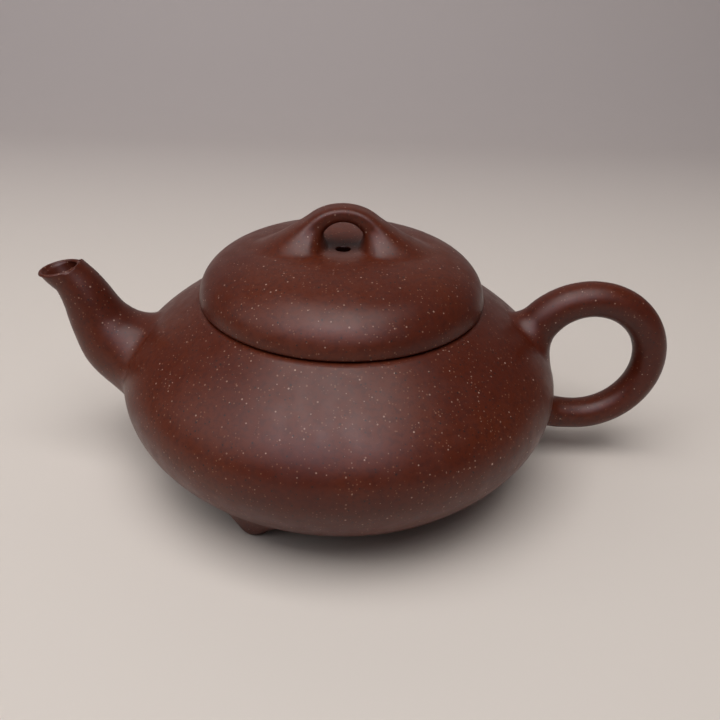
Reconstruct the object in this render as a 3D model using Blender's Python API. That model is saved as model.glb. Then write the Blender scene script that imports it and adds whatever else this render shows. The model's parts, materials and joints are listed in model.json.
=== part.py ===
"""A Yixing clay teapot on three small feet, with a lift-off lid, a ring handle and a two-bend spout.

Every piece is an object of its own, with the gap of a slip joint between neighbours.
All sizes below are in millimetres and are turned into metres when a mesh is made.
The pot's turning axis stands at x = POT_X; the spout points along -X, the handle along +X,
and z = 0 is the table under the feet. The lid's origin lies on the pot's axis, along which it lifts.
"""

from math import asin, cos, pi, radians, sin, sqrt, tau

import bmesh
import bpy
import numpy as np
from mathutils import Vector

MM = 0.001
GAP = 0.3  # slip joint between two pieces, and the play under the lid
SETTLE = 0.35  # how steeply a flared edge comes down on the surface under it
POT_X = -5.15  # the turning axis, so that the whole length is centred on x = 0

# Body: two curves that meet at the widest line, each with a height that it would reach at the axis
WIDEST_R = 52.7
WIDEST_Z = 24.5
SHOULDER_RISE = 46.6
SHOULDER_POWER = 4.4
BELLY_DROP = 36.6
BELLY_POWER = 1.55
BELLY_START = radians(53)
BELLY_POINTS = 90
BASE_Z = 3.0
BASE_EASE = 2.0  # how softly the belly turns into the flat base
BASE_R = 33.2
WALL = 3.0

# Mouth and lid
MOUTH_EDGE_R = 33.0  # where the shoulder ends
MOUTH_Z = 44.4  # flat top of the mouth
RING_R = 32.3
RING_BORE_R = 28.2
RING_BOTTOM_Z = 40.6
LID_R = 33.6
LID_WIDEST_Z = 45.2
LID_RISE = 12.0
LID_POWER = 3.7
LID_DIMPLE = 1.4  # the shallow dip round the air hole
LID_DIMPLE_R = 6.0
LID_THICKNESS = 3.0
LID_UNDER_R = 33.0
AIR_HOLE_R = 1.65
FLANGE_R = 27.7
FLANGE_BORE_R = 25.2
FLANGE_DEPTH = 7.0

# Spout: centre line in the plane y = 0 (distance out from the axis, height), then the outside and
# inside radius there, from the root to the mouth
SPOUT_STATIONS = (
    (57.4, 33.5, 8.0, 5.8),
    (58.7, 36.4, 7.05, 4.9),
    (59.8, 39.2, 6.4, 4.4),
    (60.9, 42.2, 5.8, 4.0),
    (62.4, 45.3, 5.2, 3.8),
    (64.1, 47.7, 4.75, 3.75),
    (66.4, 49.8, 4.95, 4.0),
)
SPOUT_ROOT_Z = 25.2
SPOUT_ROOT_HALF = (13.8, 16.0, 16.5)  # half width round the pot, then its reach up and down the wall
SPOUT_HOLE_HALF = (7.6, 8.2, 8.2)
SPOUT_START_TILT = radians(50)  # of the centre line above the table, at the root
SPOUT_START_ROWS = 4  # sections over which the root tilt eases into the path
SPOUT_LIP_TILT = radians(10)  # of the mouth, which faces up and a little outward
WALL_HOLE_R = 6.4
STRAINER_R = 9.0
STRAINER_HEIGHT = 7.6
STRAINER_WALL = 1.5
STRAINER_HOLE_R = 0.9
STRAINER_BAR_ENDS = (4.9, 11.0)  # from the dome's middle, to either side of its shell

# Handle: a ring in the plane y = 0
RING_X = 61.2
RING_Z = 28.2
RING_RADIUS = 16.4
HANDLE_TOP_R = 4.4
HANDLE_LOW_R = 3.85
HANDLE_SWELL = 0.5  # extra radius on the inner side where the ring nears its upper root
HANDLE_START = radians(140)
HANDLE_ARM_X = 56.5  # the lower arm runs level from the ring's lowest point to here
HANDLE_ARM_BEND = 0.012  # its rise per square millimetre from the ring's middle
HANDLE_TOP_ROOT_Z = 34.6
HANDLE_LOW_ROOT_Z = 13.4
HANDLE_TOP_HALF = (8.4, 9.0, 11.0)
HANDLE_LOW_HALF = (7.2, -6.2, -12.0)  # negative, because this ring's first quarter turns downwards

# Feet
FOOT_R = 37.4  # from the pot's axis to the middle of each sole
FOOT_SOLE_R = 2.3
FOOT_NECK_R = 3.7
FOOT_NECK_Z = 0.9
FOOT_EXTRA_GAP = 0.1  # the belly curves most here, so its facets need more room
FOOT_EDGE_R = 2.85  # just above the sole
FOOT_EDGE_Z = 0.3
FOOT_ROOT_HALF = (11.4, 7.9, 6.8)
FOOT_ROOT_RISE = 0.6  # how far the root's middle lies up the belly from the sole's middle
FEET = {"foot_front": radians(-120), "foot_back": radians(120), "foot_handle_side": 0.0}

# Bridge knob: half an ellipse over the air hole
KNOB_SPAN = 7.9
KNOB_BASE_Z = 57.6
KNOB_RISE = 7.1
KNOB_THICK = 1.75  # half thickness at the top, and how much it gains at the legs
KNOB_THICK_GAIN = 1.7
KNOB_DEPTH = 3.0  # half depth at the top, and how much it gains at the legs
KNOB_DEPTH_GAIN = 2.2
KNOB_SQUARE = 3.2  # power of its cross-section: 2 is an ellipse, more is squarer
KNOB_LEG = radians(40)
KNOB_ROOT_X = 9.8
KNOB_ROOT_HALF = (9.0, 11.4, 6.1)

TURN_SIDES = 60
SPOUT_SIDES = 24
HANDLE_SIDES = 16
KNOB_SIDES = 20
FOOT_SIDES = 16
STRAINER_SIDES = 18


# ---------------------------------------------------------------- shapes of the two turned surfaces


def belly_and_shoulder():
    """The outside of the pot as (radius, height) points from under the base up to the mouth.

    Each half is r = WIDEST_R * cos(turn) ** power, z = drop or rise * sin(turn), smooth where they meet.
    """
    points = []
    for turn in np.linspace(BELLY_START, 0, BELLY_POINTS):
        height = WIDEST_Z - BELLY_DROP * sin(turn)
        points.append((WIDEST_R * cos(turn) ** BELLY_POWER, rounded_max(height, BASE_Z, BASE_EASE)))
    top = asin((MOUTH_Z - WIDEST_Z) / SHOULDER_RISE)
    for turn in np.linspace(0, top, BELLY_POINTS)[1:]:
        points.append((WIDEST_R * cos(turn) ** SHOULDER_POWER, WIDEST_Z + SHOULDER_RISE * sin(turn)))
    return points


def rounded_max(a, b, ease):
    return 0.5 * (a + b + sqrt((a - b) ** 2 + ease**2))


class Turned:
    """A surface of revolution, measured along its outline."""

    def __init__(self, points):
        self.points = np.array(points)
        steps = np.linalg.norm(np.diff(self.points, axis=0), axis=1)
        self.along = np.concatenate([[0.0], np.cumsum(steps)])

    def at(self, distance, out=0.0):
        """(radius, height) at a distance along the outline, moved out along the surface's normal."""
        radius = np.interp(distance, self.along, self.points[:, 0])
        height = np.interp(distance, self.along, self.points[:, 1])
        if out:
            before, after = self.at(distance - 0.8), self.at(distance + 0.8)
            dr, dz = after[0] - before[0], after[1] - before[1]
            size = sqrt(dr * dr + dz * dz)
            radius, height = radius + out * dz / size, height - out * dr / size
        return radius, height

    def where_height(self, height):
        return float(np.interp(height, self.points[:, 1], self.along))

    def where_radius_below(self, radius):
        """The distance along the outline at this radius, on the under side."""
        return float(np.interp(radius, self.points[:BELLY_POINTS, 0], self.along[:BELLY_POINTS]))


POT = Turned(belly_and_shoulder())


def lid_height(radius):
    rise = LID_RISE * sqrt(max(0.0, 1 - (radius / LID_R) ** LID_POWER))
    return LID_WIDEST_Z + rise - LID_DIMPLE * np.exp(-((radius / LID_DIMPLE_R) ** 2))


# ---------------------------------------------------------------- mesh helpers


def material(name, colour, roughness):
    made = bpy.data.materials.new(name)
    made.use_nodes = True
    shader = made.node_tree.nodes["Principled BSDF"]
    shader.inputs["Base Color"].default_value = (*colour, 1.0)
    shader.inputs["Roughness"].default_value = roughness
    shader.inputs["Metallic"].default_value = 0.0
    return made


def add_object(name, mesh, look, origin=Vector((0, 0, 0)), parent=None):
    """Links a mesh whose points are in world millimetres, with its origin where the piece lifts."""
    for vertex in mesh.verts:
        vertex.co = (vertex.co - origin) * MM
    bmesh.ops.recalc_face_normals(mesh, faces=mesh.faces)
    data = bpy.data.meshes.new(name)
    mesh.to_mesh(data)
    mesh.free()
    if look is not None:
        data.materials.append(look)
    data.shade_smooth()
    data.set_sharp_from_angle(angle=radians(40))
    made = bpy.data.objects.new(name, data)
    bpy.context.scene.collection.objects.link(made)
    made.parent = parent
    if parent is None:
        made.location = origin * MM
    return made


def skin(rings, closed_ends=True):
    """A mesh over a list of rings with equal point counts. The ends get a cap, or join up as a loop."""
    mesh = bmesh.new()
    rows = [[mesh.verts.new(point) for point in ring] for ring in rings]
    pairs = list(zip(rows, rows[1:]))
    if closed_ends:
        mesh.faces.new(rows[0])
        mesh.faces.new(rows[-1])
    else:
        pairs.append((rows[-1], rows[0]))
    for low, high in pairs:
        for i, j in zip(range(len(low)), [*range(1, len(low)), 0]):
            mesh.faces.new((low[i], low[j], high[j], high[i]))
    return mesh


def turned_mesh(outline, sides=TURN_SIDES):
    """A closed outline of (radius, height) points turned about the pot's axis."""
    mesh = bmesh.new()
    rows = []
    for radius, height in outline:
        if radius == 0:
            rows.append([mesh.verts.new((POT_X, 0, height))] * sides)
            continue
        ring = []
        for i in range(sides):
            angle = tau * i / sides
            ring.append(mesh.verts.new((POT_X + radius * cos(angle), radius * sin(angle), height)))
        rows.append(ring)
    for low, high in zip(rows, rows[1:] + rows[:1]):
        for i in range(sides):
            j = (i + 1) % sides
            corners = list(dict.fromkeys((low[i], low[j], high[j], high[i])))
            if len(corners) > 2:
                mesh.faces.new(corners)
    return mesh


def ring_points(centre, side, up, half_side, half_up, count, square=2.0):
    """An ellipse of points, from side towards up. A square above 2 flattens its sides."""
    ring = []
    for i in range(count):
        across, along = cos(tau * i / count), sin(tau * i / count)
        size = (abs(across) ** square + abs(along) ** square) ** (-1 / square)
        ring.append(centre + side * (half_side * across * size) + up * (half_up * along * size))
    return ring


def on_pot(azimuth, centre, out=GAP):
    """Maps (mm round the pot, mm up its outline) from a centre on the pot's surface to a point."""
    centre_radius = POT.at(centre)[0]

    def place(across, up):
        radius, height = POT.at(centre + up, out)
        angle = azimuth + across / centre_radius
        return Vector((POT_X + radius * cos(angle), radius * sin(angle), height))

    return place


def on_lid(side_x):
    """Maps (mm across, mm outward) from a centre on the lid, side_x away from its axis, to a point."""

    def place(across, outward):
        x = side_x + outward * (1 if side_x > 0 else -1)
        return Vector((POT_X + x, across, lid_height(sqrt(x * x + across * across)) + GAP))

    return place


def footprint(place, half, count, share=1.0):
    """An oval on a surface. half is its half width, then its reach ahead of and behind the centre."""
    side, ahead, behind = half
    ring = []
    for i in range(count):
        along = sin(tau * i / count)
        reach = ahead if along > 0 else behind
        ring.append(place(share * side * cos(tau * i / count), share * reach * along))
    return ring


def flare(before, ring, place, half, steps, reach_start=1.0, reach_end=1.0):
    """Rings that carry a tube's last two rings on to a surface, arriving nearly level with it."""
    count = len(ring)
    inside = footprint(place, half, count, 0.9)
    edge = footprint(place, half, count)
    towards = sum((start - previous for previous, start in zip(before, ring)), Vector()).normalized()
    rings = []
    for step in range(1, steps + 1):
        t = step / steps
        made = []
        for previous, start, near, end in zip(before, ring, inside, edge):
            reach = (end - start).length
            heading = (start - previous).normalized()
            arrive = ((end - near).normalized() + towards * SETTLE).normalized()
            made.append(
                start * (2 * t**3 - 3 * t**2 + 1)
                + heading * (reach * reach_start * (t**3 - 2 * t**2 + t))
                + end * (3 * t**2 - 2 * t**3)
                + arrive * (reach * reach_end * (t**3 - t**2))
            )
        rings.append(made)
    return rings


def root_cap(place, half, count, shares=(0.75, 0.5, 0.25)):
    """Rings over the surface under a flared root, from its edge inwards."""
    return [footprint(place, half, count, share) for share in shares]


def smooth_path(points, per_span):
    """Points on a Catmull-Rom curve through rows of numbers."""
    rows = np.array(points, float)
    rows = np.vstack([2 * rows[0] - rows[1], rows, 2 * rows[-1] - rows[-2]])
    path = []
    for a, b, c, d in zip(rows, rows[1:], rows[2:], rows[3:]):
        for step in range(per_span):
            t = step / per_span
            path.append(
                b
                + (c - a) * (t / 2)
                + (2 * a - 5 * b + 4 * c - d) * (t**2 / 2)
                + (3 * b - a - 3 * c + d) * (t**3 / 2)
            )
    path.append(rows[-2])
    return path


def cut(target, cutter):
    boolean = target.modifiers.new("cut", "BOOLEAN")
    boolean.operation = "DIFFERENCE"
    boolean.object = cutter
    cutter.hide_render = True
    cutter.display_type = "WIRE"


# ---------------------------------------------------------------- the pot


def body_wall(look):
    """The beaten wall: outside from the base's edge to the mouth, then back down the inside."""
    low = POT.where_radius_below(BASE_R + GAP)
    side = POT.where_height(WIDEST_Z)
    top = POT.where_height(MOUTH_Z)
    outer = [POT.at(low + (side - low) * t**1.4) for t in np.linspace(0, 1, 16)]
    outer += [POT.at(side + (top - 0.25 - side) * t) for t in np.linspace(0, 1, 11)[1:]]
    edge_r = RING_R + GAP
    inner = [POT.at(low + (top - low) * t, -WALL) for t in np.linspace(0.03, 0.95, 15)]
    inner = [(radius, height) for radius, height in inner if radius > edge_r + 0.2]
    under_mouth = (edge_r, inner[-1][1] + 0.4)
    over_base = (BASE_R + GAP, BASE_Z + WALL)
    mouth = [(MOUTH_EDGE_R - 0.1, MOUTH_Z), (edge_r, MOUTH_Z), under_mouth]
    outline = outer + mouth + inner[::-1] + [over_base]
    return add_object("body_wall", turned_mesh(outline), look)


def base_disc(look):
    """A flat disc, very slightly hollow underneath."""
    hollow = [(0.0, BASE_Z + 0.7), (12.0, BASE_Z + 0.62), (24.0, BASE_Z + 0.3), (BASE_R - 2, BASE_Z + 0.12)]
    top = [(BASE_R, BASE_Z + WALL), (0.0, BASE_Z + WALL)]
    return add_object("base_disc", turned_mesh([*hollow, (BASE_R, BASE_Z + 0.13), *top]), look)


def mouth_ring(look):
    """The thick ring in the mouth; its lower inside edge is rounded off."""
    outline = [
        (RING_R, RING_BOTTOM_Z + 0.6),
        (RING_R, MOUTH_Z),
        (RING_BORE_R + 0.3, MOUTH_Z),
        (RING_BORE_R, MOUTH_Z - 0.3),
        (RING_BORE_R, RING_BOTTOM_Z + 1.0),
        (RING_BORE_R + 0.3, RING_BOTTOM_Z + 0.3),
        (RING_BORE_R + 1.0, RING_BOTTOM_Z),
        (RING_R - 0.8, RING_BOTTOM_Z),
    ]
    return add_object("mouth_ring", turned_mesh(outline), look)


def spout_frames():
    """(centre, up, outside radius, inside radius) along the spout, from root to mouth."""
    path = smooth_path(SPOUT_STATIONS, 2)
    frames = []
    for i, row in enumerate(path):
        before, after = path[max(i - 1, 0)], path[min(i + 1, len(path) - 1)]
        tilt = np.arctan2(after[1] - before[1], after[0] - before[0])
        start = max(0.0, 1 - i / SPOUT_START_ROWS)
        tilt += (SPOUT_START_TILT - tilt) * start * start
        lip = max(0.0, (i - len(path) + 3) / 2)
        tilt += (pi / 2 - SPOUT_LIP_TILT - tilt) * lip
        centre = Vector((POT_X - row[0], 0, row[1]))
        frames.append((centre, Vector((sin(tilt), 0, cos(tilt))), row[2], row[3]))
    return frames


def spout(look):
    """A hollow tube that swells into a wide root on the wall."""
    side = Vector((0, -1, 0))
    frames = spout_frames()
    outside = [ring_points(c, side, up, r, r, SPOUT_SIDES) for c, up, r, _ in frames[:-1]]
    inside = [ring_points(c, side, up, r, r, SPOUT_SIDES) for c, up, _, r in frames[:-1]]
    centre, up, outer, inner = frames[-1]
    ahead = up.cross(side).normalized()
    ahead = ahead if ahead.z > 0 else -ahead
    lip = [
        ring_points(centre - ahead * 0.5, side, up, outer, outer, SPOUT_SIDES),
        ring_points(centre, side, up, outer - 0.3, outer - 0.3, SPOUT_SIDES),
        ring_points(centre, side, up, inner + 0.2, inner + 0.2, SPOUT_SIDES),
        ring_points(centre - ahead * 0.5, side, up, inner, inner, SPOUT_SIDES),
    ]
    place = on_pot(pi, POT.where_height(SPOUT_ROOT_Z))
    root = flare(outside[1], outside[0], place, SPOUT_ROOT_HALF, 6)
    middle = [(edge + hole) / 2 for edge, hole in zip(SPOUT_ROOT_HALF, SPOUT_HOLE_HALF)]
    under = [footprint(place, half, SPOUT_SIDES) for half in (middle, SPOUT_HOLE_HALF)]
    throat = [a.lerp(b, 0.5) for a, b in zip(under[-1], inside[0])]
    rings = root[::-1] + outside + lip + inside[::-1] + [throat] + under[::-1]
    return add_object("spout", skin(rings, closed_ends=False), look)


def spout_hole_cutter():
    """A short round bar through the wall, square to it at the spout's root."""
    place_out = on_pot(pi, POT.where_height(SPOUT_ROOT_Z), WALL)
    place_in = on_pot(pi, POT.where_height(SPOUT_ROOT_Z), -2 * WALL)
    start, end = place_in(0, 0), place_out(0, 0)
    along = (end - start).normalized()
    side = Vector((0, 1, 0))
    up = along.cross(side)
    rings = [ring_points(point, side, up, WALL_HOLE_R, WALL_HOLE_R, 24) for point in (start, end)]
    return add_object("spout_hole_cutter", skin(rings), None)


def strainer_dome(look):
    """The pierced clay dome inside the wall, over the hole to the spout."""
    place = on_pot(pi, POT.where_height(SPOUT_ROOT_Z), -WALL - GAP)
    inward = Vector((1, 0, 0))

    def dome(radius, height, shares):
        rings = []
        for share in shares:
            rise = inward * (height * sqrt(1 - share * share))
            edge = footprint(place, (radius, radius, radius), STRAINER_SIDES, share)
            rings.append([point + rise for point in edge])
        return rings

    shares = (0.2, 0.45, 0.68, 0.86, 0.96, 1.0)
    outside = dome(STRAINER_R, STRAINER_HEIGHT, shares)
    inside = dome(STRAINER_R - STRAINER_WALL, STRAINER_HEIGHT - STRAINER_WALL, shares[::-1])
    made = add_object("strainer_dome", skin(outside + inside), look)
    cut(made, strainer_holes(place(0, 0), inward))
    return made


def strainer_holes(centre, inward):
    """Nineteen little bars that spread from the dome's middle: one, six and twelve."""
    side = Vector((0, 1, 0))
    up = inward.cross(side)
    bars = bmesh.new()
    for count, lean in ((1, 0.0), (6, radians(27)), (12, radians(54))):
        for i in range(count):
            turn = tau * (i + 0.5) / count
            along = inward * cos(lean) + (side * cos(turn) + up * sin(turn)) * sin(lean)
            a = along.orthogonal().normalized()
            b = along.cross(a)
            ends = [centre + along * distance for distance in STRAINER_BAR_ENDS]
            rings = [ring_points(end, a, b, STRAINER_HOLE_R, STRAINER_HOLE_R, 8) for end in ends]
            low, high = [[bars.verts.new(point) for point in ring] for ring in rings]
            bars.faces.new(low)
            bars.faces.new(high)
            for k in range(8):
                bars.faces.new((low[k], low[(k + 1) % 8], high[(k + 1) % 8], high[k]))
    return add_object("strainer_hole_cutter", bars, None)


def handle_frames():
    """(centre, outward, radius) round the ring, from the shoulder to the lower arm."""
    frames = []
    for angle in np.linspace(HANDLE_START, -pi / 2, 22):
        outward = Vector((cos(angle), 0, sin(angle)))
        share = (angle + pi / 2) / (HANDLE_START + pi / 2)
        swell = HANDLE_SWELL * (max(0.0, share - 0.75) / 0.25) ** 2
        centre = Vector((POT_X + RING_X, 0, RING_Z)) + outward * (RING_RADIUS - swell)
        frames.append((centre, outward, HANDLE_LOW_R + (HANDLE_TOP_R - HANDLE_LOW_R) * share + swell))
    low_z = RING_Z - RING_RADIUS
    for x, radius in ((RING_X - 3.1, HANDLE_LOW_R), (HANDLE_ARM_X, HANDLE_LOW_R + 0.15)):
        centre = Vector((POT_X + x, 0, low_z + HANDLE_ARM_BEND * (RING_X - x) ** 2))
        frames.append((centre, Vector((0, 0, -1)), radius))
    return frames


def handle(look):
    """A solid ring with both ends spread on the wall."""
    side = Vector((0, 1, 0))
    frames = handle_frames()
    rings = [ring_points(c, side, outward, r * 1.03, r, HANDLE_SIDES) for c, outward, r in frames]
    place_top = on_pot(0.0, POT.where_height(HANDLE_TOP_ROOT_Z))
    top = flare(rings[1], rings[0], place_top, HANDLE_TOP_HALF, 5)
    place_low = on_pot(0.0, POT.where_height(HANDLE_LOW_ROOT_Z))
    low = flare(rings[-2], rings[-1], place_low, HANDLE_LOW_HALF, 5)
    caps_top = root_cap(place_top, HANDLE_TOP_HALF, HANDLE_SIDES)
    caps_low = root_cap(place_low, HANDLE_LOW_HALF, HANDLE_SIDES)
    return add_object("handle", skin(caps_top[::-1] + top[::-1] + rings + low + caps_low), look)


def foot(name, azimuth, look):
    """A nub with a small flat sole, spread on the underside of the pot."""
    outward = Vector((cos(azimuth), sin(azimuth), 0))
    round_pot = Vector((-sin(azimuth), cos(azimuth), 0))
    base = Vector((POT_X, 0, 0)) + outward * FOOT_R
    profile = ((FOOT_SOLE_R, 0.0), (FOOT_EDGE_R, FOOT_EDGE_Z), (FOOT_NECK_R, FOOT_NECK_Z))
    rings = [
        ring_points(base + Vector((0, 0, height)), round_pot, outward, radius, radius, FOOT_SIDES)
        for radius, height in profile
    ]
    place = on_pot(azimuth, POT.where_radius_below(FOOT_R) + FOOT_ROOT_RISE, GAP + FOOT_EXTRA_GAP)
    spread = flare(rings[-2], rings[-1], place, FOOT_ROOT_HALF, 4, 0.6)
    caps = root_cap(place, FOOT_ROOT_HALF, FOOT_SIDES)
    return add_object(name, skin(rings + spread + caps), look)


# ---------------------------------------------------------------- the lid


def lid_plate(look, lift):
    """The domed disc, hollow underneath, with the air hole on its axis."""
    under_z = MOUTH_Z + GAP
    radii = [AIR_HOLE_R, 4.5, 8.0, 13.0, 18.0, 22.5, 26.2, 29.0, 31.2, 32.6, 33.35]
    outer = [(radius, lid_height(radius)) for radius in radii] + [(LID_R, LID_WIDEST_Z)]
    inner_radii = [24.6, 22.6, 18.0, 12.0, 6.0, AIR_HOLE_R]
    inner = [(radius, lid_height(radius * 1.03) - LID_THICKNESS - 0.2) for radius in inner_radii]
    rim = [(LID_R - 0.12, LID_WIDEST_Z - 0.3), (LID_UNDER_R, under_z), (FLANGE_BORE_R, under_z)]
    return add_object("lid_plate", turned_mesh(outer + rim + inner), look, *lift)


def lid_flange(look, lift):
    """The deep ring under the lid, with a little play in the mouth."""
    bottom = MOUTH_Z - FLANGE_DEPTH
    outline = [
        (FLANGE_R, MOUTH_Z),
        (FLANGE_BORE_R, MOUTH_Z),
        (FLANGE_BORE_R, bottom + 0.5),
        (FLANGE_BORE_R + 0.5, bottom),
        (FLANGE_R - 0.8, bottom),
        (FLANGE_R - 0.1, bottom + 0.6),
    ]
    return add_object("lid_flange", turned_mesh(outline), look, *lift)


def lid_knob(look, lift):
    """The bridge: an arch of clay whose legs spread on the lid either side of the air hole."""
    side = Vector((0, 1, 0))
    rings = []
    for angle in np.linspace(pi - KNOB_LEG, KNOB_LEG, 13):
        centre = Vector((POT_X + KNOB_SPAN * cos(angle), 0, KNOB_BASE_Z + KNOB_RISE * sin(angle)))
        outward = Vector((KNOB_RISE * cos(angle), 0, KNOB_SPAN * sin(angle))).normalized()
        low = 1 - sin(angle)
        depth = KNOB_DEPTH + KNOB_DEPTH_GAIN * low
        thick = KNOB_THICK + KNOB_THICK_GAIN * low
        rings.append(ring_points(centre, side, outward, depth, thick, KNOB_SIDES, KNOB_SQUARE))
    left, right = on_lid(-KNOB_ROOT_X), on_lid(KNOB_ROOT_X)
    left_rings = flare(rings[1], rings[0], left, KNOB_ROOT_HALF, 6, 0.6, 0.55)
    right_rings = flare(rings[-2], rings[-1], right, KNOB_ROOT_HALF, 6, 0.6, 0.55)
    left_cap = root_cap(left, KNOB_ROOT_HALF, KNOB_SIDES)
    right_cap = root_cap(right, KNOB_ROOT_HALF, KNOB_SIDES)
    mesh = skin(left_cap[::-1] + left_rings[::-1] + rings + right_rings + right_cap)
    return add_object("lid_knob", mesh, look, *lift)


# ---------------------------------------------------------------- the whole teapot


def main():
    for existing in list(bpy.data.objects):
        bpy.data.objects.remove(existing, do_unlink=True)
    names = ["body_wall", "base_disc", "mouth_ring", "spout", "strainer_dome", "handle"]
    names += [*FEET, "lid_plate", "lid_flange", "lid_knob"]
    looks = {name: material(name + "_clay", (0.135, 0.045, 0.032), 0.48) for name in names}
    wall = body_wall(looks["body_wall"])
    cut(wall, spout_hole_cutter())
    base_disc(looks["base_disc"])
    mouth_ring(looks["mouth_ring"])
    spout(looks["spout"])
    strainer_dome(looks["strainer_dome"])
    handle(looks["handle"])
    for name, azimuth in FEET.items():
        foot(name, azimuth, looks[name])
    lift_origin = Vector((POT_X, 0, MOUTH_Z))
    lift_axis = bpy.data.objects.new("lid_lift_axis", None)
    lift_axis.location = lift_origin * MM
    bpy.context.scene.collection.objects.link(lift_axis)
    lift = (lift_origin, lift_axis)
    lid_plate(looks["lid_plate"], lift)
    lid_flange(looks["lid_flange"], lift)
    lid_knob(looks["lid_knob"], lift)


main()
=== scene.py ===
"""Looks of a low Yixing clay teapot on three feet: luted clay pieces with an unglazed, speckled surface.

Lengths are in millimetres in the frame's axes until a mesh is made; the studio is in metres. The pot's
turning axis is vertical, the spout points along -X and the handle along +X. Each piece stands for the CAD
node of the same name. The strainer dome inside the pot is the CAD solid itself, in the inside clay.
"""

import json
from math import asin, atan2, cos, pi, radians, sin, sqrt, tau

import bmesh
import bpy
import numpy as np
from mathutils import Matrix, Vector, noise


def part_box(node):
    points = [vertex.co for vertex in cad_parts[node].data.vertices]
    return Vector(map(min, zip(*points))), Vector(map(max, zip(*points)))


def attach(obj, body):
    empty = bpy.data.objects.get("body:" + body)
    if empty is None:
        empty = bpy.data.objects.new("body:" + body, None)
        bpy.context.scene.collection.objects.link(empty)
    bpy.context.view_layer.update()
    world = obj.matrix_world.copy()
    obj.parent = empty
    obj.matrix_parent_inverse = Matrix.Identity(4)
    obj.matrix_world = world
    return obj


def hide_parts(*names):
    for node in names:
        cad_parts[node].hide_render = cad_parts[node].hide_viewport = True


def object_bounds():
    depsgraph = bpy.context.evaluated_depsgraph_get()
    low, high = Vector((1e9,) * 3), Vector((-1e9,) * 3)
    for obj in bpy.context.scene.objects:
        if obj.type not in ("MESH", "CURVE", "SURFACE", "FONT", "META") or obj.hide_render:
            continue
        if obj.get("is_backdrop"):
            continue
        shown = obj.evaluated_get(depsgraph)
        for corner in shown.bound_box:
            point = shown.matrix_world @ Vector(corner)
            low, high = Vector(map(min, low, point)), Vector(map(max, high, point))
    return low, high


MM = 0.001

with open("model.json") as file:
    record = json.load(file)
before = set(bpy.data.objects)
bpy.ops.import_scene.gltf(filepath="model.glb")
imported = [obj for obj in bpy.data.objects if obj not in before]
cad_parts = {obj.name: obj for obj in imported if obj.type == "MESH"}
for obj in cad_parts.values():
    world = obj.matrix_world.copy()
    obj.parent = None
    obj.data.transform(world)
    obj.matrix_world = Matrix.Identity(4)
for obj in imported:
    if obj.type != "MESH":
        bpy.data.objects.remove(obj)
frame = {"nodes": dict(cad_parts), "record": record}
cad_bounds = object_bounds()


def box_mm(node):
    low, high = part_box(node)
    return low / MM, high / MM


WALL_LOW, WALL_HIGH = box_mm("body_wall")
LID_LOW, LID_HIGH = box_mm("lid_plate")
RING_LOW, RING_HIGH = box_mm("mouth_ring")
FLANGE_LOW, FLANGE_HIGH = box_mm("lid_flange")
_, BASE_HIGH = box_mm("base_disc")

# The pot's turned outline: two halves that meet at the widest line
POT_X = (LID_LOW.x + LID_HIGH.x) / 2
WIDEST_R = WALL_HIGH.y
MOUTH_Z = WALL_HIGH.z
WIDEST_Z = 24.5
SHOULDER_RISE = 46.6
SHOULDER_POWER = 4.4
BELLY_DROP = 36.6
BELLY_POWER = 1.55
BELLY_START = radians(53)
BELLY_POINTS = 160
BASE_Z = WALL_LOW.z - 0.1
BASE_EASE = 2.0
BASE_R = BASE_HIGH.y
WALL = 3.0
MOUTH_EDGE_R = 33.0
MOUTH_EDGE_ROUND = 0.45

# Mouth ring and lid
RING_R = RING_HIGH.y
RING_BORE_R = 28.2
LID_R = LID_HIGH.y
LID_WIDEST_Z = 45.2
LID_RISE = 12.0
LID_POWER = 3.7
LID_DIMPLE = 1.4
LID_DIMPLE_R = 6.0
LID_UNDER_Z = LID_LOW.z
LID_UNDER_R = 33.0
LID_THICKNESS = 3.0
AIR_HOLE_R = 1.65
AIR_HOLE_SPREAD = 1.2  # how much wider the hole is underneath
FLANGE_R = FLANGE_HIGH.y
FLANGE_BORE_R = 25.2

# Spout: centre line out from the axis and up, then the outside and inside radius
SPOUT_STATIONS = (
    (57.4, 33.5, 8.0, 5.8),
    (58.7, 36.4, 7.05, 4.9),
    (59.8, 39.2, 6.4, 4.4),
    (60.9, 42.2, 5.8, 4.0),
    (62.4, 45.3, 5.2, 3.8),
    (64.1, 47.7, 4.75, 3.75),
    (66.4, 49.8, 4.95, 4.0),
)
SPOUT_ROOT_Z = 25.2
SPOUT_ROOT_HALF = (13.8, 16.0, 16.5)
SPOUT_HOLE_HALF = (7.6, 8.2, 8.2)
SPOUT_START_TILT = radians(50)
SPOUT_LIP_TILT = radians(10)

# Handle
RING_X = 61.2
RING_Z = 28.2
RING_RADIUS = 16.4
HANDLE_TOP_R = 4.4
HANDLE_LOW_R = 3.85
HANDLE_SWELL = 0.5
HANDLE_START = radians(140)
HANDLE_SWELL_FROM = 0.75  # share of the ring after which the swell begins
HANDLE_ARM_X = 56.5
HANDLE_ARM_GAIN = 0.15
HANDLE_ARM_BEND = 0.012  # its rise per square millimetre from the ring's middle
HANDLE_TOP_ROOT_Z = 34.6
HANDLE_LOW_ROOT_Z = 13.4
HANDLE_TOP_HALF = (8.4, 9.0, 11.0)
HANDLE_LOW_HALF = (7.2, -6.2, -12.0)

# Feet
FOOT_SOLE_R = 2.3
FOOT_NECK_R = 3.7
FOOT_NECK_Z = 0.9
FOOT_EDGE = ((0.0, 0.0), (0.45, 0.06), (0.85, 0.22), (1.15, 0.5))  # from the sole's edge, out and up
FOOT_ROOT_RISE = 0.6
FOOT_ROOT_HALF = (11.8, 8.1, 7.0)
FEET = {"foot_front": "front_sole", "foot_back": "back_sole", "foot_handle_side": "handle_side_sole"}

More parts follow.
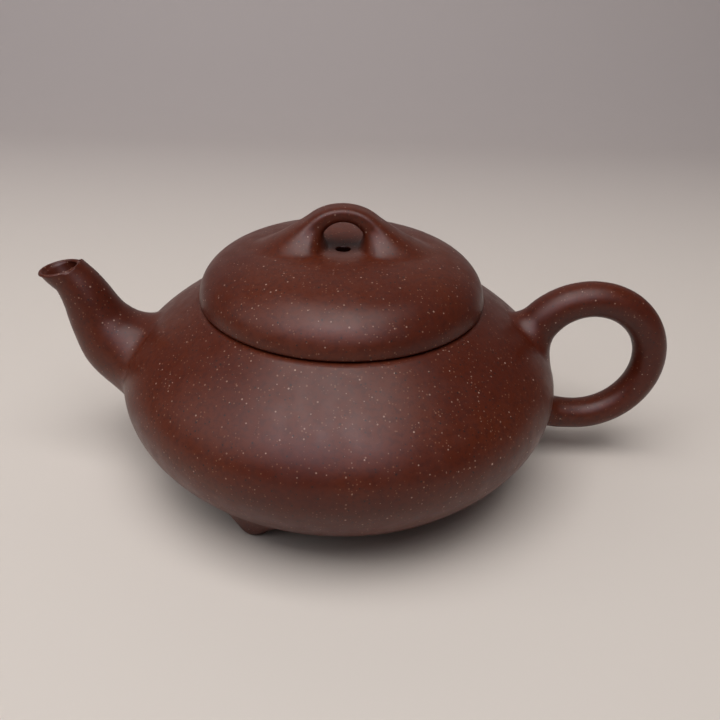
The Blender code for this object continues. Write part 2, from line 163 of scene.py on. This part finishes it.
# Bridge knob
KNOB_SPAN = 7.9
KNOB_BASE_Z = 57.6
KNOB_RISE = 7.1
KNOB_THICK = 1.75
KNOB_THICK_GAIN = 1.7
KNOB_DEPTH = 3.0
KNOB_DEPTH_GAIN = 2.2
KNOB_LEG = radians(40)
KNOB_ROOT_X = 9.8
KNOB_ROOT_HALF = (9.4, 11.8, 6.5)
KNOB_SQUARE = 3.2

TURN_SIDES = 240
BASE_SIDES = 160
TUBE_SIDES = 72
KNOB_SIDES = 64
FOOT_SIDES = 48
SPOUT_ROWS = 10  # sections between two spout stations
LIP_ROWS = 9
HANDLE_ROWS = 110
HANDLE_ARM_ROWS = 8
KNOB_ROWS = 70
KNOB_REACH = (0.6, 0.55)  # how far a knob leg keeps its direction, at the leg and at its edge
FOOT_REACH = 0.6
SUNK = 0.12  # how far a flared edge dips into the wall, so that no line shows
WOBBLE = 0.16  # hand-made unevenness of the turned surfaces
WOBBLE_LENGTH = 26  # from one hollow to the next
WOBBLE_STRETCH = 1.6
WOBBLE_FULL_R = 30  # nearer the axis the wobble fades


# ---------------------------------------------------------------- the two turned surfaces


def belly_and_shoulder():
    """The outside of the pot as (radius, height) points from under the base up to the mouth."""
    points = []
    for turn in np.linspace(BELLY_START, 0, BELLY_POINTS):
        height = WIDEST_Z - BELLY_DROP * sin(turn)
        points.append((WIDEST_R * cos(turn) ** BELLY_POWER, rounded_max(height, BASE_Z, BASE_EASE)))
    top = asin((MOUTH_Z - WIDEST_Z) / SHOULDER_RISE)
    for turn in np.linspace(0, top, BELLY_POINTS)[1:]:
        points.append((WIDEST_R * cos(turn) ** SHOULDER_POWER, WIDEST_Z + SHOULDER_RISE * sin(turn)))
    return points


def rounded_max(a, b, ease):
    """The larger of two numbers, with a smooth turn where they are equal."""
    return 0.5 * (a + b + sqrt((a - b) ** 2 + ease**2))


class Turned:
    """A surface of revolution, measured along its outline."""

    def __init__(self, points):
        self.points = np.array(points)
        steps = np.linalg.norm(np.diff(self.points, axis=0), axis=1)
        self.along = np.concatenate([[0.0], np.cumsum(steps)])

    def at(self, distance, out=0.0):
        """The (radius, height) so far along the outline, and moved out square to it."""
        radius = np.interp(distance, self.along, self.points[:, 0])
        height = np.interp(distance, self.along, self.points[:, 1])
        if out:
            before, after = self.at(distance - 0.5), self.at(distance + 0.5)
            dr, dz = after[0] - before[0], after[1] - before[1]
            size = sqrt(dr * dr + dz * dz)
            radius, height = radius + out * dz / size, height - out * dr / size
        return radius, height

    def where_height(self, height):
        return float(np.interp(height, self.points[:, 1], self.along))

    def where_radius_below(self, radius):
        return float(np.interp(radius, self.points[:BELLY_POINTS, 0], self.along[:BELLY_POINTS]))


POT = Turned(belly_and_shoulder())


def lid_height(radius):
    """The top of the lid, with the shallow dip round its air hole."""
    rise = LID_RISE * sqrt(max(0.0, 1 - (radius / LID_R) ** LID_POWER))
    return LID_WIDEST_Z + rise - LID_DIMPLE * np.exp(-((radius / LID_DIMPLE_R) ** 2))


# ---------------------------------------------------------------- mesh helpers


def uneven(point):
    """Moves a point a little towards the axis, the same for every piece, so that joints still meet."""
    out = Vector((point.x - POT_X, point.y, 0))
    if out.length < 1:
        return point
    amount = 0.5 + 0.5 * noise.noise(Vector((point.x, point.y, point.z * WOBBLE_STRETCH)) / WOBBLE_LENGTH)
    return point - out.normalized() * (WOBBLE * amount * min(1.0, out.length / WOBBLE_FULL_R))


def add_piece(name, mesh, body, looks, sharp=radians(50)):
    """Makes a mesh in millimetres a shown piece that rides on a body and stands for its CAD node."""
    for vertex in mesh.verts:
        vertex.co = uneven(vertex.co) * MM
    bmesh.ops.recalc_face_normals(mesh, faces=mesh.faces)
    data = bpy.data.meshes.new(name)
    mesh.to_mesh(data)
    mesh.free()
    data.materials.append(looks)
    data.shade_smooth()
    data.set_sharp_from_angle(angle=sharp)
    piece = bpy.data.objects.new(name + "_clay", data)
    bpy.context.scene.collection.objects.link(piece)
    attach(piece, body)
    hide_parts(name)
    return piece


def skin(rings, closed_ends=True):
    """A mesh over a list of rings with equal point counts. The ends get a cap, or join up as a loop."""
    mesh = bmesh.new()
    rows = [[mesh.verts.new(point) for point in ring] for ring in rings]
    pairs = list(zip(rows, rows[1:]))
    if closed_ends:
        mesh.faces.new(rows[0])
        mesh.faces.new(rows[-1])
    else:
        pairs.append((rows[-1], rows[0]))
    for low, high in pairs:
        for i, j in zip(range(len(low)), [*range(1, len(low)), 0]):
            mesh.faces.new((low[i], low[j], high[j], high[i]))
    return mesh


def turned_mesh(outline, sides=TURN_SIDES):
    """A closed outline of (radius, height) points turned about the pot's axis."""
    mesh = bmesh.new()
    rows = []
    for radius, height in outline:
        if radius == 0:
            rows.append([mesh.verts.new((POT_X, 0, height))] * sides)
            continue
        ring = []
        for i in range(sides):
            angle = tau * i / sides
            ring.append(mesh.verts.new((POT_X + radius * cos(angle), radius * sin(angle), height)))
        rows.append(ring)
    for low, high in zip(rows, rows[1:] + rows[:1]):
        for i in range(sides):
            j = (i + 1) % sides
            corners = list(dict.fromkeys((low[i], low[j], high[j], high[i])))
            if len(corners) > 2:
                mesh.faces.new(corners)
    return mesh


def corner(before, point, after, radius, count=5):
    """Points that round off one corner of an outline."""
    before, point, after = Vector(before), Vector(point), Vector(after)
    start = point + (before - point).normalized() * radius
    end = point + (after - point).normalized() * radius
    made = []
    for i in range(count):
        t = i / (count - 1)
        made.append(tuple(start * (1 - t) ** 2 + point * 2 * t * (1 - t) + end * t**2))
    return made


def rounded_outline(points, radii):
    """A closed outline with each corner rounded by its own radius; 0 keeps the point as it is."""
    made = []
    for i, (point, radius) in enumerate(zip(points, radii)):
        if radius:
            made += corner(points[i - 1], point, points[(i + 1) % len(points)], radius)
        else:
            made.append(point)
    return made


def ring_points(centre, side, up, half_side, half_up, count, square=2.0):
    """An ellipse of points; a power above 2 makes it squarer."""
    ring = []
    for i in range(count):
        across, along = cos(tau * i / count), sin(tau * i / count)
        size = (abs(across) ** square + abs(along) ** square) ** (-1 / square)
        ring.append(centre + side * (half_side * across * size) + up * (half_up * along * size))
    return ring


def on_pot(azimuth, centre, out=0.0):
    """Gives points on the pot round a centre, by their way round the pot and up its outline."""
    centre_radius = POT.at(centre)[0]

    def place(across, up, lift=0.0):
        radius, height = POT.at(centre + up, out + lift)
        angle = azimuth + across / centre_radius
        return Vector((POT_X + radius * cos(angle), radius * sin(angle), height))

    return place


def on_lid(side_x):
    """Gives points on the lid round a centre on its X line, by their way across and outward."""

    def place(across, outward, lift=0.0):
        x = side_x + outward * (1 if side_x > 0 else -1)
        return Vector((POT_X + x, across, lid_height(sqrt(x * x + across * across)) + lift))

    return place


def footprint(place, half, share, count, lift=0.0):
    """A share of an oval on a surface, with its own half length ahead and behind."""
    side, ahead, behind = half
    ring = []
    for i in range(count):
        along = sin(tau * i / count)
        reach = ahead if along > 0 else behind
        ring.append(place(share * side * cos(tau * i / count), share * reach * along, lift))
    return ring


def flare(before, ring, place, half, steps, reach_start=1.0, reach_end=1.0):
    """Rings that lead a tube's last two rings on to a surface, level with it, and then dip below it."""
    count = len(ring)
    inside = footprint(place, half, 0.97, count)
    edge = footprint(place, half, 1.0, count)
    rings = []
    for step in range(1, steps + 1):
        t = step / steps
        made = []
        for previous, start, near, end in zip(before, ring, inside, edge):
            reach = (end - start).length
            heading = (start - previous).normalized()
            arrive = (end - near).normalized()
            made.append(
                start * (2 * t**3 - 3 * t**2 + 1)
                + heading * (reach * reach_start * (t**3 - 2 * t**2 + t))
                + end * (3 * t**2 - 2 * t**3)
                + arrive * (reach * reach_end * (t**3 - t**2))
            )
        rings.append(made)
    rings.append(footprint(place, half, 1.04, count, -SUNK))
    rings.append(footprint(place, half, 0.98, count, -1.0))
    return rings


def smooth_path(points, per_span):
    """Points on a Catmull-Rom curve through rows of numbers."""
    rows = np.array(points, float)
    rows = np.vstack([2 * rows[0] - rows[1], rows, 2 * rows[-1] - rows[-2]])
    path = []
    for a, b, c, d in zip(rows, rows[1:], rows[2:], rows[3:]):
        for step in range(per_span):
            t = step / per_span
            path.append(
                b
                + (c - a) * (t / 2)
                + (2 * a - 5 * b + 4 * c - d) * (t**2 / 2)
                + (3 * b - a - 3 * c + d) * (t**3 / 2)
            )
    path.append(rows[-2])
    return path


# ---------------------------------------------------------------- the pot


def body_wall(looks):
    """The wall from base to mouth, open where the ring and the base close it."""
    low = POT.where_radius_below(BASE_R)
    top = POT.where_height(MOUTH_Z)
    outer = [POT.at(low + (top - 0.5 - low) * t) for t in np.linspace(0, 1, 150)]
    edge_r = RING_R + 0.02
    edge = corner(outer[-1], (MOUTH_EDGE_R, MOUTH_Z), (edge_r, MOUTH_Z), MOUTH_EDGE_ROUND)
    inner = [POT.at(low + (top - low) * t, -WALL) for t in np.linspace(0.03, 0.96, 70)]
    inner = [(radius, height) for radius, height in inner if radius > edge_r + 0.3]
    behind_ring = [(edge_r, MOUTH_Z), (edge_r, inner[-1][1] + 0.3)]
    over_base = (BASE_R, BASE_HIGH.z)
    outline = outer + edge + behind_ring + inner[::-1] + [over_base]
    return add_piece("body_wall", turned_mesh(outline), "pot", looks)


def base_disc(looks):
    """The disc under the pot, a little hollow towards its middle."""
    edge_r = BASE_R - 0.02
    hollow = ((0.0, 0.7), (6.0, 0.68), (12.0, 0.62), (18.0, 0.48), (24.0, 0.32), (29.0, 0.2), (edge_r, 0.13))
    under = [(radius, BASE_Z + rise) for radius, rise in hollow]
    top = [(edge_r, BASE_HIGH.z), (20.0, BASE_HIGH.z), (0.0, BASE_HIGH.z)]
    return add_piece("base_disc", turned_mesh(under + top, BASE_SIDES), "pot", looks)


def mouth_ring(looks):
    """The thick ring in the mouth, whose top is level with the wall's."""
    points = [
        (RING_R, RING_LOW.z),
        (RING_R, MOUTH_Z),
        (RING_BORE_R, MOUTH_Z),
        (RING_BORE_R, RING_LOW.z),
    ]
    outline = rounded_outline(points, (0.8, 0, 0.5, 1.1))
    return add_piece("mouth_ring", turned_mesh(outline), "pot", looks)


def spout_frames():
    """(centre, up, outside radius, inside radius) along the spout, from root to mouth."""
    path = smooth_path(SPOUT_STATIONS, SPOUT_ROWS)
    frames = []
    for i, row in enumerate(path):
        before, after = path[max(i - 1, 0)], path[min(i + 1, len(path) - 1)]
        tilt = atan2(after[1] - before[1], after[0] - before[0])
        start = max(0.0, 1 - i / (2 * SPOUT_ROWS))
        tilt += (SPOUT_START_TILT - tilt) * start * start
        lip = max(0.0, (i - len(path) + 1 + SPOUT_ROWS) / SPOUT_ROWS)
        tilt += (pi / 2 - SPOUT_LIP_TILT - tilt) * (3 * lip**2 - 2 * lip**3)
        centre = Vector((POT_X - row[0], 0, row[1]))
        frames.append((centre, Vector((sin(tilt), 0, cos(tilt))), row[2], row[3]))
    return frames


def spout(looks):
    """A hollow tube with a rounded lip, which swells into a wide root on the wall."""
    side = Vector((0, -1, 0))
    frames = spout_frames()
    outside = [ring_points(c, side, up, r, r, TUBE_SIDES) for c, up, r, _ in frames[:-1]]
    inside = [ring_points(c, side, up, r, r, TUBE_SIDES) for c, up, _, r in frames[:-2]]
    centre, up, outer, inner = frames[-1]
    ahead = Vector((-up.z, 0, up.x))
    middle = (outer + inner) / 2
    half = (outer - inner) / 2
    lip = []
    for angle in np.linspace(0, pi, LIP_ROWS):
        radius = middle + half * cos(angle)
        top = centre + ahead * (half * (sin(angle) - 1))
        lip.append(ring_points(top, side, up, radius, radius, TUBE_SIDES))
    place = on_pot(pi, POT.where_height(SPOUT_ROOT_Z))
    root = flare(outside[1], outside[0], place, SPOUT_ROOT_HALF, 24)
    hole = footprint(place, SPOUT_HOLE_HALF, 1.0, TUBE_SIDES, -1.0)
    throat = [[a.lerp(b, t) for a, b in zip(hole, inside[0])] for t in (0.35, 0.7)]
    rings = root[::-1] + outside + lip + inside[::-1] + throat[::-1] + [hole]
    return add_piece("spout", skin(rings, closed_ends=False), "pot", looks)


def handle_frames():
    """(centre, outward, radius) round the ring, from the shoulder to the end of the lower arm."""
    frames = []
    for angle in np.linspace(HANDLE_START, -pi / 2, HANDLE_ROWS):
        outward = Vector((cos(angle), 0, sin(angle)))
        share = (angle + pi / 2) / (HANDLE_START + pi / 2)
        swell = HANDLE_SWELL * (max(0.0, share - HANDLE_SWELL_FROM) / (1 - HANDLE_SWELL_FROM)) ** 2
        centre = Vector((POT_X + RING_X, 0, RING_Z)) + outward * (RING_RADIUS - swell)
        frames.append((centre, outward, HANDLE_LOW_R + (HANDLE_TOP_R - HANDLE_LOW_R) * share + swell))
    low_z = RING_Z - RING_RADIUS
    for x in np.linspace(RING_X - 1, HANDLE_ARM_X, HANDLE_ARM_ROWS):
        inward = RING_X - x
        radius = HANDLE_LOW_R + HANDLE_ARM_GAIN * (inward / (RING_X - HANDLE_ARM_X)) ** 2
        centre = Vector((POT_X + x, 0, low_z + HANDLE_ARM_BEND * inward**2))
        frames.append((centre, Vector((0, 0, -1)), radius))
    return frames


def handle(looks):
    """A solid ring with both ends spread on the wall."""
    side = Vector((0, 1, 0))
    frames = handle_frames()
    rings = [ring_points(c, side, outward, r * 1.03, r, TUBE_SIDES) for c, outward, r in frames]
    place_top = on_pot(0.0, POT.where_height(HANDLE_TOP_ROOT_Z))
    top = flare(rings[1], rings[0], place_top, HANDLE_TOP_HALF, 20)
    place_low = on_pot(0.0, POT.where_height(HANDLE_LOW_ROOT_Z))
    low = flare(rings[-2], rings[-1], place_low, HANDLE_LOW_HALF, 20)
    return add_piece("handle", skin(top[::-1] + rings + low), "pot", looks)


def foot(name, sole, looks):
    """A nub on a small flat sole, spread on the underside of the pot."""
    base = Vector((sole[0], sole[1], 0)) / MM
    azimuth = atan2(base.y, base.x - POT_X)
    radius = Vector((base.x - POT_X, base.y)).length
    outward = Vector((cos(azimuth), sin(azimuth), 0))
    round_pot = Vector((-sin(azimuth), cos(azimuth), 0))
    profile = [(FOOT_SOLE_R + out, height) for out, height in FOOT_EDGE]
    profile.append((FOOT_NECK_R, FOOT_NECK_Z))
    rings = []
    for wide, height in profile:
        rings.append(ring_points(base + Vector((0, 0, height)), round_pot, outward, wide, wide, FOOT_SIDES))
    place = on_pot(azimuth, POT.where_radius_below(radius) + FOOT_ROOT_RISE)
    spread = flare(rings[-2], rings[-1], place, FOOT_ROOT_HALF, 16, FOOT_REACH)
    return add_piece(name, skin(rings + spread), "pot", looks)


# ---------------------------------------------------------------- the lid


def lid_plate(looks):
    """The domed disc. Its air hole widens downwards, and its edge turns under at the widest line."""
    first_r = AIR_HOLE_R + 0.2
    radii = [first_r + (LID_R - first_r) * sin(t) for t in np.linspace(0, pi / 2, 90)]
    outer = [(AIR_HOLE_R + 0.1, lid_height(AIR_HOLE_R) - 0.15)]
    outer += [(radius, lid_height(radius)) for radius in radii]
    rim = [(LID_R - 0.05, LID_WIDEST_Z - 0.18), (LID_R - 0.2, LID_WIDEST_Z - 0.33)]
    rim += [(LID_UNDER_R, LID_UNDER_Z), (FLANGE_BORE_R, LID_UNDER_Z)]
    inner_radii = np.linspace(FLANGE_BORE_R - 0.4, AIR_HOLE_R + AIR_HOLE_SPREAD, 40)
    inner = [(radius, lid_height(radius * 1.03) - LID_THICKNESS - 0.2) for radius in inner_radii]
    return add_piece("lid_plate", turned_mesh(outer + rim + inner), "lid", looks)


def lid_flange(looks):
    """The deep ring under the lid, with its lower corners rounded."""
    top_z = LID_UNDER_Z - 0.02
    points = [
        (FLANGE_R, top_z),
        (FLANGE_BORE_R, top_z),
        (FLANGE_BORE_R, FLANGE_LOW.z),
        (FLANGE_R, FLANGE_LOW.z),
    ]
    outline = rounded_outline(points, (0, 0, 0.6, 0.9))
    return add_piece("lid_flange", turned_mesh(outline), "lid", looks)


def lid_knob(looks):
    """The bridge: an arch of clay whose legs spread on the lid either side of the air hole."""
    side = Vector((0, 1, 0))
    rings = []
    for angle in np.linspace(pi - KNOB_LEG, KNOB_LEG, KNOB_ROWS):
        centre = Vector((POT_X + KNOB_SPAN * cos(angle), 0, KNOB_BASE_Z + KNOB_RISE * sin(angle)))
        outward = Vector((KNOB_RISE * cos(angle), 0, KNOB_SPAN * sin(angle))).normalized()
        low = 1 - sin(angle)
        depth = KNOB_DEPTH + KNOB_DEPTH_GAIN * low
        thick = KNOB_THICK + KNOB_THICK_GAIN * low
        rings.append(ring_points(centre, side, outward, depth, thick, KNOB_SIDES, KNOB_SQUARE))
    left = flare(rings[1], rings[0], on_lid(-KNOB_ROOT_X), KNOB_ROOT_HALF, 24, *KNOB_REACH)
    right = flare(rings[-2], rings[-1], on_lid(KNOB_ROOT_X), KNOB_ROOT_HALF, 24, *KNOB_REACH)
    return add_piece("lid_knob", skin(left[::-1] + rings + right), "lid", looks)


# ---------------------------------------------------------------- materials


class Nodes:
    """Short calls for building one material's nodes."""

    def __init__(self, name):
        self.material = bpy.data.materials.new(name)
        self.material.use_nodes = True
        self.tree = self.material.node_tree
        self.shader = self.tree.nodes["Principled BSDF"]
        self.coordinates = self.add("ShaderNodeTexCoord").outputs["Object"]

    def add(self, kind, **settings):
        node = self.tree.nodes.new(kind)
        for key, value in settings.items():
            setattr(node, key, value)
        return node

    def put(self, socket, value):
        if isinstance(value, bpy.types.NodeSocket):
            self.tree.links.new(value, socket)
        else:
            socket.default_value = value

    def noise(self, per_metre, detail=2.0, roughness=0.5):
        node = self.add("ShaderNodeTexNoise")
        self.put(node.inputs["Vector"], self.coordinates)
        node.inputs["Scale"].default_value = per_metre
        node.inputs["Detail"].default_value = detail
        node.inputs["Roughness"].default_value = roughness
        return node.outputs["Fac"]

    def ramp(self, value, low, high, out_low=0.0, out_high=1.0):
        node = self.add("ShaderNodeMapRange", interpolation_type="SMOOTHSTEP")
        for key, number in (("Value", value), ("From Min", low), ("From Max", high)):
            self.put(node.inputs[key], number)
        node.inputs["To Min"].default_value = out_low
        node.inputs["To Max"].default_value = out_high
        return node.outputs["Result"]

    def maths(self, operation, a, b=0.0):
        node = self.add("ShaderNodeMath", operation=operation)
        self.put(node.inputs[0], a)
        self.put(node.inputs[1], b)
        return node.outputs[0]

    def mix(self, amount, a, b, blend="MIX"):
        node = self.add("ShaderNodeMix", data_type="RGBA", blend_type=blend)
        self.put(node.inputs["Factor"], amount)
        self.put(node.inputs["A"], a)
        self.put(node.inputs["B"], b)
        return node.outputs["Result"]

    def specks(self, per_metre, share, radius):
        """A mask of round grains: one grain in share of the cells, up to radius (in cells) across."""
        cells = self.add("ShaderNodeTexVoronoi")
        self.put(cells.inputs["Vector"], self.coordinates)
        cells.inputs["Scale"].default_value = per_metre
        split = self.add("ShaderNodeSeparateColor")
        self.put(split.inputs["Color"], cells.outputs["Color"])
        size = self.ramp(split.outputs["Red"], 1 - share, 1.0, 0.0, radius)
        near = self.maths("SUBTRACT", size, cells.outputs["Distance"])
        return self.ramp(near, 0.0, radius * 0.35), split.outputs["Green"]


INNER_GLOSS = 0.55  # roughness inside the pot and under it
CLAY = (0.079, 0.0120, 0.0040, 1.0)
CLAY_WARM = (0.100, 0.0175, 0.0052, 1.0)
CLAY_DEEP = (0.052, 0.0092, 0.0050, 1.0)
GRAIN_GOLD = (0.20, 0.080, 0.045, 1.0)
GRAIN_CREAM = (0.44, 0.28, 0.22, 1.0)
GRAIN_DARK = (0.022, 0.012, 0.011, 1.0)


def clay(name, gloss=0.38):
    """Purple-brown clay, burnished but unglazed, with pale and dark grains. gloss is its roughness."""
    n = Nodes(name)
    base, middle = clay_colour(n)
    n.put(n.shader.inputs["Base Color"], base)
    rough = n.ramp(n.noise(260.0, 3.0), 0.3, 0.7, gloss - 0.04, gloss + 0.05)
    n.put(n.shader.inputs["Roughness"], rough)
    n.shader.inputs["IOR"].default_value = 1.5
    n.shader.inputs["Specular IOR Level"].default_value = 0.32
    height = n.maths("MULTIPLY", n.noise(2600.0, 3.0, 0.6), 0.5)
    height = n.maths("ADD", height, n.maths("MULTIPLY", n.noise(420.0, 2.0), 0.6))
    height = n.maths("ADD", height, n.maths("MULTIPLY", middle, 0.25))
    bump = n.add("ShaderNodeBump")
    bump.inputs["Strength"].default_value = 0.35
    bump.inputs["Distance"].default_value = 0.00006
    n.put(bump.inputs["Height"], height)
    n.put(n.shader.inputs["Normal"], bump.outputs["Normal"])
    return n.material


def clay_colour(n):
    """The clay's colour with four sizes of grain in it, and the mask of the middle ones."""
    base = n.mix(n.ramp(n.noise(38.0), 0.35, 0.65), CLAY, CLAY_WARM)
    base = n.mix(n.ramp(n.noise(900.0, 3.0), 0.40, 0.72, 0.0, 0.55), base, CLAY_DEEP)
    fine, _ = n.specks(1300.0, 0.95, 0.27)
    base = n.mix(n.maths("MULTIPLY", fine, 0.8), base, GRAIN_GOLD)
    middle, tint = n.specks(850.0, 0.9, 0.21)
    base = n.mix(n.maths("MULTIPLY", middle, 0.75), base, n.mix(tint, GRAIN_GOLD, GRAIN_CREAM))
    large, _ = n.specks(420.0, 0.30, 0.12)
    base = n.mix(large, base, GRAIN_CREAM)
    dark, _ = n.specks(1000.0, 0.8, 0.26)
    base = n.mix(n.maths("MULTIPLY", dark, 0.85), base, GRAIN_DARK)
    return base, middle


# ---------------------------------------------------------------- studio


FLOOR_FRONT = -1.2
FLOOR_HALF = 1.4
BEND_Y = 0.32
BEND_R = 0.16
BACKDROP_TOP = 1.0
FLOOR_PALE = (0.72, 0.66, 0.60, 1.0)
FLOOR_BACK = (0.48, 0.43, 0.42, 1.0)
FLOOR_FADE = (0.05, 0.45)  # along Y, from the pale colour to the back one


def sweep():
    """A pale paper floor that curves up into a backdrop behind the pot."""
    profile = [(FLOOR_FRONT, 0.0)]
    profile += [(BEND_Y + BEND_R * sin(t), BEND_R * (1 - cos(t))) for t in np.linspace(0, pi / 2, 25)]
    profile.append((BEND_Y + BEND_R, BACKDROP_TOP))
    data = bpy.data.meshes.new("floor")
    points = [(x, y, z) for y, z in profile for x in (-FLOOR_HALF, FLOOR_HALF)]
    faces = [(i, i + 1, i + 3, i + 2) for i in range(0, len(points) - 2, 2)]
    data.from_pydata(points, [], faces)
    data.shade_smooth()
    made = bpy.data.objects.new("floor", data)
    bpy.context.scene.collection.objects.link(made)
    data.materials.append(floor_paint())
    made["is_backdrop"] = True


def floor_paint():
    """Matt paint that deepens a little towards the backdrop."""
    n = Nodes("floor_paint")
    split = n.add("ShaderNodeSeparateXYZ")
    n.put(split.inputs["Vector"], n.coordinates)
    back = n.ramp(split.outputs["Y"], *FLOOR_FADE)
    n.put(n.shader.inputs["Base Color"], n.mix(back, FLOOR_PALE, FLOOR_BACK))
    n.shader.inputs["Roughness"].default_value = 0.7
    return n.material


def area_light(name, place, aim, size, power, colour=(1, 1, 1)):
    data = bpy.data.lights.new(name, "AREA")
    data.shape = "RECTANGLE"
    data.size, data.size_y = size
    data.energy = power
    data.color = colour
    made = bpy.data.objects.new(name, data)
    bpy.context.scene.collection.objects.link(made)
    made.location = place
    made.rotation_euler = (Vector(aim) - Vector(place)).to_track_quat("-Z", "Y").to_euler()
    return made


def studio():
    """A wide light overhead, a weak one at the spout's side, and a third that shows only in reflections."""
    world = bpy.data.worlds.new("studio")
    world.use_nodes = True
    background = world.node_tree.nodes["Background"]
    background.inputs["Color"].default_value = (0.98, 0.95, 0.96, 1.0)
    background.inputs["Strength"].default_value = 0.07
    bpy.context.scene.world = world
    area_light("overhead", (-0.06, -0.20, 0.75), (0, 0, 0.03), (0.74, 0.56), 5.2, (0.98, 0.96, 0.96))
    gleam = area_light("gleam", (-0.08, -0.46, 0.54), (0, 0, 0.03), (0.80, 0.40), 2.5, (0.90, 0.86, 1.0))
    gleam.visible_diffuse = False
    area_light("window", (-0.62, -0.22, 0.50), (0, 0, 0.03), (0.6, 0.5), 1.1, (0.95, 0.97, 1.0))
    bpy.context.scene.view_settings.view_transform = "Standard"


CAMERA_AHEAD = 165.95  # in front of the pot's axis
CAMERA_ABOVE = 96.72  # above the widest line
CAMERA_DOWN = radians(29.75)
CAMERA_ROLL = radians(1.98)
CAMERA_TURN = radians(1.66)
CAMERA_LENS = 38.0


def camera():
    """A camera held close to the pot, above and in front of it, turned and tipped by a few degrees."""
    down, roll, turn = CAMERA_DOWN, CAMERA_ROLL, CAMERA_TURN
    place = Vector((POT_X, -CAMERA_AHEAD, WIDEST_Z + CAMERA_ABOVE)) * MM
    ahead = Vector((sin(turn) * cos(down), cos(turn) * cos(down), -sin(down)))
    level = Vector((cos(turn), -sin(turn), 0))
    above = level.cross(ahead)
    right = level * cos(roll) + above * sin(roll)
    up = above * cos(roll) - level * sin(roll)
    data = bpy.data.cameras.new("camera")
    data.lens = CAMERA_LENS
    data.clip_start = 0.01
    made = bpy.data.objects.new("camera", data)
    bpy.context.scene.collection.objects.link(made)
    axes = Matrix((right, up, -ahead)).transposed().to_4x4()
    made.matrix_world = Matrix.Translation(place) @ axes
    bpy.context.scene.camera = made


def write_sizes():
    """Works out the box of the CAD, then the box of what is shown; neither is written anywhere."""
    boxes = [[list(corner) for corner in bounds] for bounds in (cad_bounds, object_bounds())]


def main():
    camera()
    pot_looks = clay("pot_clay_look")
    inner_looks = clay("inner_clay_look", INNER_GLOSS)
    body_wall(pot_looks)
    base_disc(inner_looks)
    mouth_ring(inner_looks)
    spout(pot_looks)
    handle(pot_looks)
    soles = {mount["name"]: mount["pos_m"] for mount in frame["record"]["mounts"]}
    for name, mount in FEET.items():
        foot(name, soles[mount], pot_looks)
    lid_plate(pot_looks)
    lid_flange(inner_looks)
    lid_knob(pot_looks)
    frame["nodes"]["strainer_dome"].data.materials.clear()
    frame["nodes"]["strainer_dome"].data.materials.append(inner_looks)
    sweep()
    studio()
    write_sizes()


main()
